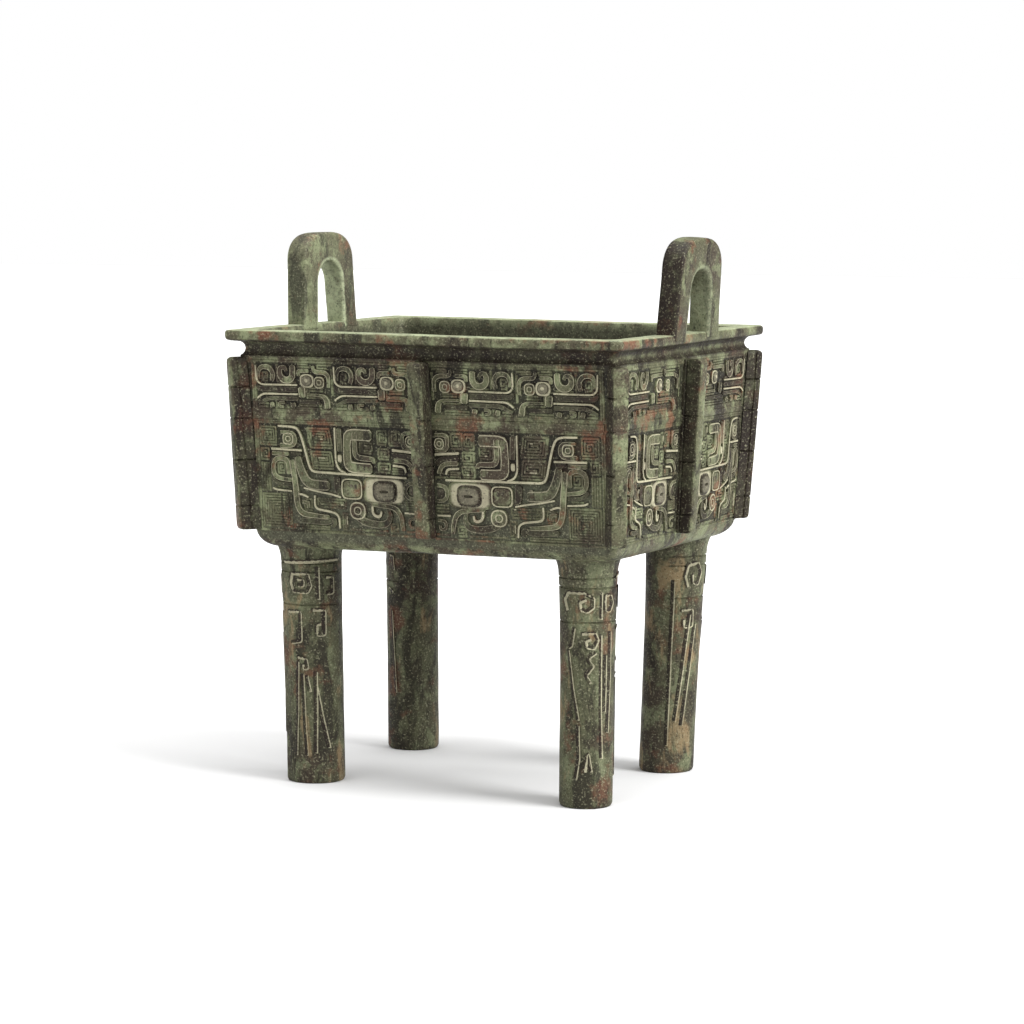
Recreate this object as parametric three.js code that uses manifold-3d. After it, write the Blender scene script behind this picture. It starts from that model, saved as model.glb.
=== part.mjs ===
// A square bronze ding: an open rectangular vessel on four round legs, with two upright loop handles on its
// rim, eight vertical flanges, a row of dragons round the top of the walls and a large mask on each wall.
// The whole of it is one casting, so it is one mesh. Millimetres, +Z up, origin on the ground under the centre.
import * as THREE from "three";
import { mergeVertices } from "three/addons/utils/BufferGeometryUtils.js";
import Module from "manifold-3d";

const wasm = await Module();
wasm.setup();

// ---- Driving dimensions ----
const TOTAL_HEIGHT = 220;
const RIM = { top: 182.4, edge: 4.1, halfX: 86.4, halfY: 70.8, cornerRadius: 1.4 };
const NECK = { halfX: 81, halfY: 65, z: 175.2, radius: 3 };
const WALL = { top: 171.4, bottom: 103, topX: 82.5, topY: 66, bottomX: 79.3, bottomY: 60, thick: 4 };
const FLOOR = { underside: 96.1, top: 100, inset: 6.5 };
const MOUTH = { halfX: 77.2, halfY: 61.6 }; // inner edge of the rim's flat top
const FLANGE = { thick: 6.4, proudTop: 8, proudBottom: 6.2, top: 172, bottom: 103 };
const NOTCH = { width: 0.9, depth: 0.7, levels: [0.12, 0.42, 0.68] }; // levels are shares of the height
const HANDLE = { width: 44.5, topWidth: 40, shoulder: 12, thick: 9.4, hole: 20, holeHeight: 25, leans: { left: 2.2, right: 3.4 } };
const LEG = { x: 59.6, y: 41.7, top: 97, flare: 2.2, flareHeight: 5, sides: 20 };
const LEG_BAND = { bottom: 72.4, top: 89, groove: 0.7 }; // the two incised rings that hold the leg's mask
const BLADE = { tip: 10, spread: 40, groove: 1.1, depth: 0.6 }; // hanging blades; spread is half an angle at the top
const RELIEF = { mask: 1.1, dragon: 0.9, eye: 2.1, band: 0.8, root: 0.6 }; // heights above the wall's ground
const UPPER = { bottom: 151.4, top: 169.8 }; // the dragons' register
const LOWER = { bottom: 104, top: 145.2 }; // the mask's register
const DRAGON_LENGTH = 35.5; // a dragon's own length, before it is fitted to its wall

// The four corners, each with its own small irregularities: how far its flange stands out at the top and at
// the bottom, its leg's radii at the foot and at the top, and how far the leg's centre is shifted in X there.
const CORNERS = [
  { sx: -1, sy: -1, proudTop: 4.4, proudBottom: 6.4, footRadius: 11.9, topRadius: 12.4, footShift: -1.6, topShift: -3.9 },
  { sx: 1, sy: -1, proudTop: 4.6, proudBottom: 5, footRadius: 10.4, topRadius: 11.8, footShift: -0.9, topShift: 0.1 },
  { sx: -1, sy: 1, proudTop: 4.5, proudBottom: 5.4, footRadius: 10.8, topRadius: 11.2, footShift: -2, topShift: -2.4 },
  { sx: 1, sy: 1, proudTop: 4.4, proudBottom: 4.3, footRadius: 11.1, topRadius: 12.9, footShift: -3.6, topShift: 0.5 },
];

const BRONZE = new THREE.MeshStandardMaterial({ color: 0x4f4b38, roughness: 0.62, metalness: 0.55 });
const lerp = THREE.MathUtils.lerp;
const radians = THREE.MathUtils.degToRad;

// ---- Solids ----
// A closed three.js geometry as a solid that can be joined and cut.
function solid(geometry, matrix = new THREE.Matrix4()) {
  const placed = geometry.clone().applyMatrix4(matrix);
  placed.deleteAttribute("normal");
  placed.deleteAttribute("uv");
  const merged = mergeVertices(placed, 1e-4);
  const triVerts = new Uint32Array(merged.index.array);
  if (matrix.determinant() < 0)
    for (let i = 0; i < triVerts.length; i += 3)
      [triVerts[i + 1], triVerts[i + 2]] = [triVerts[i + 2], triVerts[i + 1]];
  const vertProperties = new Float32Array(merged.attributes.position.array);
  return new wasm.Manifold(new wasm.Mesh({ numProp: 3, vertProperties, triVerts }));
}

// The geometry of a solid.
function geometryOf(made) {
  const mesh = made.getMesh();
  const geometry = new THREE.BufferGeometry();
  geometry.setAttribute("position", new THREE.BufferAttribute(mesh.vertProperties, 3));
  geometry.setIndex(new THREE.BufferAttribute(mesh.triVerts, 1));
  geometry.computeVertexNormals();
  return geometry;
}

const join = (solids) => solids.reduce((all, one) => all.add(one));
const plainExtrude = (shape, depth, curveSegments = 3) =>
  new THREE.ExtrudeGeometry(shape, { depth, bevelEnabled: false, curveSegments });
const shapeOf = (points) => new THREE.Shape(points.map(([x, y]) => new THREE.Vector2(x, y)));

// ---- The vessel ----
// Half of a wall's outer section, from the underside up to the rim: [distance from the centre, height].
function outerSection(rimHalf, neckHalf, topHalf, bottomHalf) {
  const rimUnder = RIM.top - RIM.edge;
  const section = [
    [bottomHalf - FLOOR.inset, FLOOR.underside],
    [bottomHalf - FLOOR.inset * 0.4, FLOOR.underside + 1.6],
    [bottomHalf - FLOOR.inset * 0.1, FLOOR.underside + 4.4],
    [bottomHalf, WALL.bottom],
    [topHalf, WALL.top],
  ];
  const steps = 4; // the neck is a hollow curve between the wall's top and the rim's underside
  for (let i = 0; i <= steps; i++) {
    const angle = lerp(-60, 60, i / steps);
    const x = neckHalf + NECK.radius * (1 - Math.cos(radians(angle)));
    section.push([x, NECK.z + NECK.radius * Math.sin(radians(angle))]);
  }
  section.push([rimHalf - 0.8, rimUnder], [rimHalf, rimUnder + 0.9], [rimHalf, RIM.top - 0.5]);
  section.push([rimHalf - 0.6, RIM.top]);
  return section;
}

// A solid with this half section on both sides of the centre, run along the other axis.
function runAlong(section, length, alongX) {
  const mirrored = section.map(([x, z]) => [-x, z]).reverse();
  const bar = plainExtrude(shapeOf([...section, ...mirrored]), length).translate(0, 0, -length / 2);
  bar.rotateX(Math.PI / 2);
  if (alongX) bar.rotateZ(Math.PI / 2);
  return solid(bar);
}

function roundedRectangle(halfX, halfY, radius) {
  const shape = new THREE.Shape();
  shape.moveTo(-halfX + radius, -halfY);
  shape.lineTo(halfX - radius, -halfY);
  shape.absarc(halfX - radius, -halfY + radius, radius, -Math.PI / 2, 0);
  shape.lineTo(halfX, halfY - radius);
  shape.absarc(halfX - radius, halfY - radius, radius, 0, Math.PI / 2);
  shape.lineTo(-halfX + radius, halfY);
  shape.absarc(-halfX + radius, halfY - radius, radius, Math.PI / 2, Math.PI);
  shape.lineTo(-halfX, -halfY + radius);
  shape.absarc(-halfX + radius, -halfY + radius, radius, Math.PI, 1.5 * Math.PI);
  return shape;
}

function vessel() {
  const long = 4 * RIM.halfX;
  const acrossX = runAlong(outerSection(RIM.halfX, NECK.halfX, WALL.topX, WALL.bottomX), long, false);
  const acrossY = runAlong(outerSection(RIM.halfY, NECK.halfY, WALL.topY, WALL.bottomY), long, true);
  const plan = plainExtrude(roundedRectangle(RIM.halfX, RIM.halfY, RIM.cornerRadius), TOTAL_HEIGHT);
  const innerSection = (mouthHalf, topHalf, bottomHalf) => [
    [bottomHalf - WALL.thick - 6, FLOOR.top],
    [bottomHalf - WALL.thick - 1.6, FLOOR.top + 1.8],
    [bottomHalf - WALL.thick, FLOOR.top + 6],
    [mouthHalf, WALL.top - 4],
    [mouthHalf, RIM.top + 5],
  ];
  const hollowX = runAlong(innerSection(MOUTH.halfX, WALL.topX, WALL.bottomX), long, false);
  const hollowY = runAlong(innerSection(MOUTH.halfY, WALL.topY, WALL.bottomY), long, true);
  return acrossX.intersect(acrossY).intersect(solid(plan)).subtract(hollowX.intersect(hollowY));
}

// ---- The flanges ----
// One flange as it stands on a wall whose outside is at x = half; it points along +X.
function flange(topHalf, bottomHalf, proudTop, proudBottom) {
  const { thick, top, bottom } = FLANGE;
  const root = 2; // how far it goes into the wall
  const outline = shapeOf([
    [bottomHalf - root, bottom],
    [bottomHalf + proudBottom - 1, bottom],
    [bottomHalf + proudBottom, bottom + 1.2],
    [topHalf + proudTop, top - 1.5],
    [topHalf + proudTop - 1.2, top],
    [topHalf - root, top],
  ]);
  const bar = plainExtrude(outline, thick).translate(0, 0, -thick / 2).rotateX(Math.PI / 2);
  let made = solid(bar);
  for (const level of NOTCH.levels) {
    const z = lerp(bottom, top, level);
    const foot = lerp(bottomHalf, topHalf, level);
    for (const side of [-1, 1]) {
      const cut = new THREE.BoxGeometry(proudTop * 2, NOTCH.depth * 2, NOTCH.width);
      made = made.subtract(solid(cut.translate(foot + proudTop + 1.5, (side * thick) / 2, z)));
    }
  }
  return made;
}

function flanges() {
  const made = [];
  for (const turn of [0, 180]) {
    const long = flange(WALL.topY, WALL.bottomY, FLANGE.proudTop, FLANGE.proudBottom);
    const short = flange(WALL.topX, WALL.bottomX, FLANGE.proudTop, FLANGE.proudBottom);
    made.push(short.rotate([0, 0, turn]), long.rotate([0, 0, turn + 90]));
  }
  // A corner flange stands on the wall's vertical edge and points outwards along the diagonal.
  for (const { sx, sy, proudTop, proudBottom } of CORNERS) {
    const turned = flange(0, 0, proudTop, proudBottom).rotate([0, 0, (Math.atan2(sy, sx) * 180) / Math.PI]);
    const height = WALL.top - WALL.bottom;
    const leanX = (sx * (WALL.topX - WALL.bottomX)) / height;
    const leanY = (sy * (WALL.topY - WALL.bottomY)) / height;
    made.push(
      turned.warp((v) => {
        v[0] += sx * WALL.bottomX + leanX * (v[2] - WALL.bottom);
        v[1] += sy * WALL.bottomY + leanY * (v[2] - WALL.bottom);
      }),
    );
  }
  return made;
}

// ---- The handles ----
// An upright loop on the middle of each short side of the rim, leaning a little outwards.
function handle(side, leanDegrees) {
  const lean = radians(leanDegrees);
  const height = TOTAL_HEIGHT - RIM.top - (HANDLE.thick / 2) * Math.sin(lean);
  const root = 2.5;
  const shoulder = height - HANDLE.shoulder;
  const halfTop = HANDLE.topWidth / 2;
  const outline = new THREE.Shape();
  outline.moveTo(-HANDLE.width / 2, -root);
  outline.lineTo(HANDLE.width / 2, -root);
  outline.lineTo(halfTop, shoulder);
  outline.bezierCurveTo(halfTop - 1, height - 2, halfTop * 0.55, height, 0, height);
  outline.bezierCurveTo(-halfTop * 0.55, height, 1 - halfTop, height - 2, -halfTop, shoulder);
  const hole = new THREE.Path();
  const half = HANDLE.hole / 2;
  hole.moveTo(-half - 0.4, 0.6);
  hole.lineTo(half + 0.4, 0.6);
  hole.lineTo(half - 0.4, HANDLE.holeHeight - half);
  hole.absellipse(0, HANDLE.holeHeight - half, half - 0.4, half, 0, Math.PI);
  outline.holes.push(hole);
  const bar = plainExtrude(outline, HANDLE.thick, 8).translate(0, 0, -HANDLE.thick / 2);
  bar.rotateX(Math.PI / 2).rotateZ(Math.PI / 2).rotateY(side * lean);
  const middle = RIM.halfX - HANDLE.thick / 2;
  return solid(bar.translate(side * middle, 0, RIM.top));
}

// ---- The legs ----
// Wraps a flat strip (x along the surface, y its depth, z up) round a leg at the given angle.
function wrapped(strip, radius, angle, slope) {
  const position = strip.attributes.position;
  for (let i = 0; i < position.count; i++) {
    const z = position.getZ(i);
    const turn = radians(angle + slope(z)) + position.getX(i) / radius(z);
    const reach = radius(z) + position.getY(i);
    position.setXYZ(i, reach * Math.cos(turn), reach * Math.sin(turn), z);
  }
  return strip;
}

function leg({ sx, sy, footRadius, topRadius, footShift, topShift }) {
  const outward = (Math.atan2(sy, sx) * 180) / Math.PI;
  const radius = (z) => lerp(footRadius, topRadius, Math.max(0, z / LEG.top) ** 3);
  const ring = (z) => [
    [radius(z) - 0.05, z - LEG_BAND.groove],
    [radius(z) - BLADE.depth, z],
    [radius(z) - 0.05, z + LEG_BAND.groove],
  ];
  const profile = [
    [0, 0],
    [footRadius - 0.9, 0],
    [footRadius, 1],
    [radius(40), 40],
    ...ring(LEG_BAND.bottom),
    ...ring(LEG_BAND.top),
    [topRadius + LEG.flare * 0.25, LEG.top - LEG.flareHeight * 0.5],
    [topRadius + LEG.flare, LEG.top],
    [0, LEG.top],
  ].map(([r, z]) => new THREE.Vector2(r, z));
  let made = solid(new THREE.LatheGeometry(profile, LEG.sides).rotateX(Math.PI / 2));
  // The hanging blade on the leg's outer face: two slanting grooves that come together at its tip.
  const long = LEG_BAND.bottom - LEG_BAND.groove - BLADE.tip;
  for (const side of [-1, 1]) {
    const strip = new THREE.BoxGeometry(BLADE.groove, BLADE.depth * 2, long, 1, 1, 3);
    strip.translate(0, 0, BLADE.tip + long / 2);
    const slope = (z) => side * lerp(6, BLADE.spread, (z - BLADE.tip) / long);
    made = made.subtract(solid(wrapped(strip, radius, outward, slope)));
  }
  // The mask's two eyes, on the band between the rings.
  for (const side of [-1, 1]) {
    const eye = new THREE.SphereGeometry(1, 8, 4).rotateX(Math.PI / 2).scale(2.9, 1.3, 2.4);
    eye.translate(0, 0, (LEG_BAND.bottom + LEG_BAND.top) / 2);
    made = made.add(solid(wrapped(eye, radius, outward + side * 34, () => 0)));
  }
  return made.warp((v) => {
    v[0] += sx * LEG.x + lerp(footShift, topShift, v[2] / LEG.top);
    v[1] += sy * LEG.y;
  });
}

// ---- The relief ----
// The outline of a band of even width along a route of [x, y] points. A turn has one point on its inner side,
// and two on its outer side when cut, the share of the corner that is taken off, is more than zero.
function band(route, width, cut = 0) {
  const points = route.map(([x, y]) => new THREE.Vector2(x, y));
  const left = [];
  const right = [];
  points.forEach((point, i) => {
    const before = points[i - 1];
    const after = points[i + 1];
    const inward = (before ? point.clone().sub(before) : after.clone().sub(point)).normalize();
    const outward = (after ? after.clone().sub(point) : inward.clone()).normalize();
    const along = inward.clone().add(outward).normalize();
    const reach = width / 2 / along.dot(inward);
    const across = new THREE.Vector2(-along.y, along.x).multiplyScalar(reach);
    const turn = inward.cross(outward);
    const [inner, outer] = turn > 0 ? [left, right] : [right, left];
    const away = turn > 0 ? across.clone().negate() : across;
    inner.push(point.clone().sub(away));
    const corner = point.clone().add(away);
    if (cut > 0 && before && after) {
      outer.push(corner.clone().addScaledVector(inward, -width * cut));
      outer.push(corner.clone().addScaledVector(outward, width * cut));
    } else outer.push(corner);
  });
  return [...left, ...right.reverse()].map((p) => [p.x, p.y]);
}

// A rounded block, as an ellipse or as a box with its corners taken off.
function block(x, y, halfX, halfY, corner) {
  const inX = halfX - corner;
  const inY = halfY - corner;
  const quarter = [[halfX, inY], [inX, halfY]];
  const top = [...quarter, ...quarter.map(([a, b]) => [-a, b]).reverse()];
  return [...top, ...top.map(([a, b]) => [-a, -b])].map(([a, b]) => [x + a, y + b]);
}

// Half of the mask, right of the wall's middle: [outline, height]. Heights on the wall are from its own zero.
function maskForms() {
  const { mask, eye } = RELIEF;
  const tailRoute = [[10.5, 126.3], [51.5, 126.3], [58.6, 142.8], [65, 142.8], [65, 137.8]];
  const plumeRoute = [[46.3, 123.3], [46.3, 120.4], [55.5, 120.4], [60.4, 131.8], [71.3, 131.8], [71.3, 120.2], [63, 120.2]];
  const hornRoute = [[24.5, 138.6], [24.5, 142.4], [38.8, 142.4], [38.8, 129.2], [26.4, 129.2], [26.4, 132.6]];
  const jawRoute = [[29, 112.2], [29, 115.4], [35, 115.4], [35, 107.2], [18.6, 107.2], [18.6, 111.5]];
  const legRoute = [[60, 117.4], [60, 109.4], [43.4, 109.4], [43.4, 105.2]];
  return [
    [band(hornRoute, 4.4, 0.45), mask],
    [band(tailRoute, 2.2, 0.6), mask],
    [band(plumeRoute, 2.9, 0.5), mask],
    [band(jawRoute, 2.8, 0.6), mask],
    [band(legRoute, 2.6, 0.5), mask],
    [band([[6, 129], [6, 134.6], [16, 134.6]], 2.8, 0.5), mask], // brow
    [band([[7, 105.6], [7, 112.4], [12.6, 112.4]], 2.6), mask], // snout
    [block(20, 120.6, 4.9, 4, 1.8), eye],
    [block(34.4, 120.9, 4.2, 3.4, 1.4), mask], // ear
    [block(8.5, 121, 2.9, 3.1, 1.4), mask], // nostril
    [block(8.3, 140.8, 2.9, 2.9, 1.4), mask], // forehead
  ];
}

// One dragon in profile, its head at x = 0 and its tail at DRAGON_LENGTH.
function dragonForms() {
  const { dragon, mask } = RELIEF;
  return [
    [band([[13.5, 160.9], [34, 160.9], [34, 168.2], [27.4, 168.2], [27.4, 164.4]], 2, 0.6), dragon], // body and tail
    [band([[17.4, 168.6], [17.4, 163.7], [23.6, 163.7], [23.6, 168.6]], 2.4), dragon], // crest
    [band([[13.5, 157.4], [34.2, 157.4], [34.2, 152.6]], 2, 0.6), dragon], // belly
    [band([[21.6, 157], [21.6, 153]], 2.6), dragon], // hind foot
    [block(11.4, 163.9, 3.1, 3.1, 1.5), mask], // eye
    [band([[12.4, 161], [12.4, 156], [2.6, 156], [2.6, 152.8]], 2.4), dragon], // fore leg and jaw
    [band([[8.6, 168.2], [2.4, 168.2], [2.4, 160.8], [6.6, 160.8]], 1.8), dragon], // snout
  ];
}

// A wall's ground as a frame of axes: x along the wall, y straight up, z out of it.
function wallMatrix(topHalf, bottomHalf, turn) {
  const slope = (topHalf - bottomHalf) / (WALL.top - WALL.bottom);
  const along = new THREE.Vector3(1, 0, 0);
  const up = new THREE.Vector3(0, -slope, 1);
  const out = new THREE.Vector3(0, -1, -slope).normalize();
  const origin = new THREE.Vector3(0, -(bottomHalf - slope * WALL.bottom), 0);
  const frame = new THREE.Matrix4().makeBasis(along, up, out).setPosition(origin);
  return new THREE.Matrix4().makeRotationZ(radians(turn)).multiply(frame);
}

// Both halves of a wall's relief. place moves a mask's x to the wall's; dragons are the cells of the top row.
function wallRelief(halfLength, place, dragons, frame) {
  const forms = maskForms().map(([outline, height]) => [outline.map(([x, y]) => [place(x), y]), height]);
  for (const [start, end] of dragons)
    for (const [outline, height] of dragonForms()) {
      const fitted = outline.map(([x, y]) => [lerp(start, end, x / DRAGON_LENGTH), y]);
      forms.push([fitted, height]);
    }
  forms.push([block(halfLength / 2, 148.6, halfLength / 2, 1.3, 0.3), RELIEF.band]); // plain ridge between the rows
  const made = [];
  for (const side of [-1, 1])
    for (const [outline, height] of forms) {
      const shape = shapeOf(outline.map(([x, y]) => [side * x, y]));
      const raised = plainExtrude(shape, height + RELIEF.root).translate(0, 0, -RELIEF.root);
      made.push(solid(raised, frame));
    }
  return made;
}

// The short walls carry the same mask, drawn in towards the middle.
function narrowed(x) {
  const knots = [[0, 0], [14, 16.4], [38, 35.6], [76, 58.6]];
  const next = knots.findIndex(([from]) => from >= x);
  const [[x0, y0], [x1, y1]] = [knots[Math.max(0, next - 1)], knots[Math.max(1, next)]];
  return lerp(y0, y1, (x - x0) / (x1 - x0));
}

function relief() {
  const longCells = [[4.6, 40.4], [41, 76.6]];
  const shortCells = [[5, 58]];
  const made = [];
  for (const turn of [0, 180]) {
    const long = wallMatrix(WALL.topY, WALL.bottomY, turn);
    const short = wallMatrix(WALL.topX, WALL.bottomX, turn + 90);
    made.push(...wallRelief(WALL.bottomX - 1, (x) => x, longCells, long));
    made.push(...wallRelief(WALL.bottomY - 1, narrowed, shortCells, short));
  }
  return made;
}

// ---- The casting ----
const parts = [vessel(), ...CORNERS.map(leg), handle(-1, HANDLE.leans.left), handle(1, HANDLE.leans.right), ...flanges(), ...relief()];
const ding = new THREE.Mesh(geometryOf(join(parts)), BRONZE);
ding.name = "square_ding";
const part = new THREE.Group();
part.add(ding);

export default part;
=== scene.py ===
"""Dresses the square bronze ding: one casting, modelled as a vessel shell, its flanges, handles and legs, and
the relief of each wall, under a procedural patina with painted shade and highlight. Sizes here are in
millimetres, in the frame's own axes: X along the long walls, Y through them with the front wall at -Y, and Z
up from the ground."""
import math

import bpy
import numpy as np
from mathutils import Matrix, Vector, noise


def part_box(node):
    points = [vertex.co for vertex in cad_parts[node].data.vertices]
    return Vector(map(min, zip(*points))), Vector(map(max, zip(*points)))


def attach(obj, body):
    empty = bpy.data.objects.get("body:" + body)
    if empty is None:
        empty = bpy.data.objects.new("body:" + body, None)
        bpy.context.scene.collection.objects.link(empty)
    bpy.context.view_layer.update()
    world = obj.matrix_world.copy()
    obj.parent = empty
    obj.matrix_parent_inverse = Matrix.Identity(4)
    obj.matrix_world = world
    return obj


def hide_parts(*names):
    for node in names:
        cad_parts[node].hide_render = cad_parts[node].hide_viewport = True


# The unevenness and the wobble of the relief draw on this, so a set seed gives the same casting each time.
noise.seed_set(7)

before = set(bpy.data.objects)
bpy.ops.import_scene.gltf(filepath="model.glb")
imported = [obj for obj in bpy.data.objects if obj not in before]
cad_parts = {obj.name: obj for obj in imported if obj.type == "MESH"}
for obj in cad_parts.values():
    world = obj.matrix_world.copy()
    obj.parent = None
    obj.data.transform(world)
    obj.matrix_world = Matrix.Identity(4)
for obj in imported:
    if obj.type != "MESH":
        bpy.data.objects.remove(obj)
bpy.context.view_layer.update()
NODE = "square_ding"
MM = 0.001
HANDLE_TOP = (Vector(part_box(NODE)[1]) / MM).z

# ---- The ding's own sizes ----
RIM = {"top": 182.4, "edge": 4.1, "half": (86.4, 70.8), "corner": 1.6}
NECK = {"half": (81.0, 65.0), "z": 175.2, "radius": 3.0}
WALL = {"bottom": 103.0, "top": 171.4, "low": (79.3, 60.0), "high": (82.5, 66.0), "thick": 4.0}
FLOOR = {"underside": 96.1, "top": 100.0, "inset": 6.5}
MOUTH = (77.2, 61.6)
FLANGE = {"thick": 6.4, "top": 172.0, "bottom": 103.0, "proud_top": 8.0, "proud_bottom": 6.2}
NOTCHES = {"middle": (110.8, 131.5, 149.6), "corner": (112.5, 131.0, 147.6, 160.2)}
HANDLE = {"width": 44.5, "top_width": 40.0, "shoulder": 12.0, "thick": 9.4, "hole": 20.0,
          "hole_height": 25.0}
HANDLE_LEANS = {-1: 2.2, 1: 3.4}
HANDLE_SHIFTS = {-1: 0.3, 1: 1.0}
LEG = {"x": 59.6, "y": 41.7, "top": 97.0, "rings": (72.4, 85.6, 89.2)}
# Each corner: its signs, how far its flange stands out at the top and bottom, and its leg's foot radius, top
# radius, and shift in X at the foot and at the top.
CORNERS = (
    (-1, -1, 4.4, 6.4, 11.6, 12.4, -1.7, -3.9),
    (1, -1, 4.6, 5.0, 10.4, 11.8, -0.9, 0.1),
    (-1, 1, 4.5, 5.4, 10.8, 11.2, -2.0, -2.4),
    (1, 1, 4.4, 4.3, 11.1, 12.9, -3.3, 1.0),
)
ROWS = {"masks": (103.5, 146), "dragons": (151.5, 170.3)}
BORDERS = (170.5, 151.3, 150.6, 147.0, 146.2, 103.1)
RELIEF = {"figure": 0.95, "dragon": 0.85, "eye": 1.7, "plate": 0.62, "ridge": 0.95, "root": 0.5}
THREAD = {"pitch": 1.08, "foot": 0.66, "crest": 0.34, "height": 0.58, "corner": 0.25}


def lerp(a, b, t):
    return a + (b - a) * t


def wall_half(axis, z):
    """How far the plain wall's outside is from the centre at a height."""
    return lerp(WALL["low"][axis], WALL["high"][axis], (z - WALL["bottom"]) / (WALL["top"] - WALL["bottom"]))


def uneven(point):
    """The unevenness of a mould made by hand: all that is near one place moves together."""
    slow = noise.noise_vector(point * 0.017)
    quick = noise.noise_vector(point * 0.09 + Vector((31.0, 7.0, 3.0)))
    shift = slow * 0.35 + quick * 0.1
    shift.z *= min(1.0, max(0.0, point.z / 20.0))
    shift.z += point.x * 0.009 * math.exp(-(((point.z - FLOOR["underside"]) / 8) ** 2))
    shift.z -= point.x * 0.004 * min(1.0, max(0.0, (point.z - WALL["top"]) / 10.0))
    return point + shift


# ---- Meshes ----
class Skin:
    """One piece's points and faces, and how far each point is relief, ground, pale, leg or dark: relief
    paints wear and highlight on crests, ground paints shade in the recesses, pale paints a pale green and the
    highlight on the rim top, and dark paints dark patina and shade in the neck, inside, pits, cuts and round
    the eye.
    """

    LAYERS = ("relief", "ground", "pale", "leg", "dark")

    def __init__(self):
        self.points = []
        self.faces = []
        self.layers = {name: [] for name in self.LAYERS}

    def add(self, points, faces, **layers):
        start = len(self.points)
        self.points.extend(Vector(p) for p in points)
        self.faces.extend(tuple(start + i for i in face) for face in faces)
        for name in self.LAYERS:
            value = layers.get(name, 0.0)
            several = hasattr(value, "__len__")
            self.layers[name].extend(value if several else [value] * len(points))

    def piece(self, name, material, smooth_under=38.0):
        data = bpy.data.meshes.new(name)
        data.from_pydata([uneven(p) * MM for p in self.points], [], self.faces)
        for layer, values in self.layers.items():
            attribute = data.attributes.new(layer, "FLOAT", "POINT")
            attribute.data.foreach_set("value", np.clip(np.array(values, dtype=np.float32), 0, 1))
        data.materials.append(material)
        data.validate()
        data.polygons.foreach_set("use_smooth", [True] * len(data.polygons))
        data.set_sharp_from_angle(angle=math.radians(smooth_under))
        thing = bpy.data.objects.new(name, data)
        bpy.context.scene.collection.objects.link(thing)
        return thing


def loft(rings):
    """Points and faces of a closed skin over rings of equally many points, with a fan at each end."""
    count = len(rings[0])
    points = [p for ring in rings for p in ring]
    faces = []
    for i in range(len(rings) - 1):
        for j in range(count):
            k = (j + 1) % count
            faces.append((i * count + j, i * count + k, (i + 1) * count + k, (i + 1) * count + j))
    for ring, first, outward in ((rings[0], 0, -1), (rings[-1], (len(rings) - 1) * count, 1)):
        middle = sum((Vector(p) for p in ring), Vector()) / count
        points.append(middle)
        hub = len(points) - 1
        for j in range(count):
            k = (j + 1) % count
            edge = (first + j, first + k) if outward > 0 else (first + k, first + j)
            faces.append((*edge, hub))
    return points, faces


# ---- The vessel ----
def rounded_rectangle(half_x, half_y, radius, z, along=54, across=44, turn=4):
    """A ring round the vessel, anticlockwise from above."""
    ring = []
    corners = ((1, -1, -90, across), (1, 1, 0, along), (-1, 1, 90, across), (-1, -1, 180, along))
    for i, (sx, sy, start, _) in enumerate(corners):
        for j in range(turn + 1):
            angle = math.radians(start + 90 * j / turn)
            x = sx * (half_x - radius) + radius * math.cos(angle)
            y = sy * (half_y - radius) + radius * math.sin(angle)
            ring.append(Vector((x, y, z)))
        next_sx, next_sy, next_start, _ = corners[(i + 1) % 4]
        angle = math.radians(next_start)
        x = next_sx * (half_x - radius) + radius * math.cos(angle)
        y = next_sy * (half_y - radius) + radius * math.sin(angle)
        count = across if i % 2 == 0 else along
        last = ring[-1]
        for j in range(1, count):
            ring.append(last.lerp(Vector((x, y, z)), j / count))
    return ring


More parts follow.
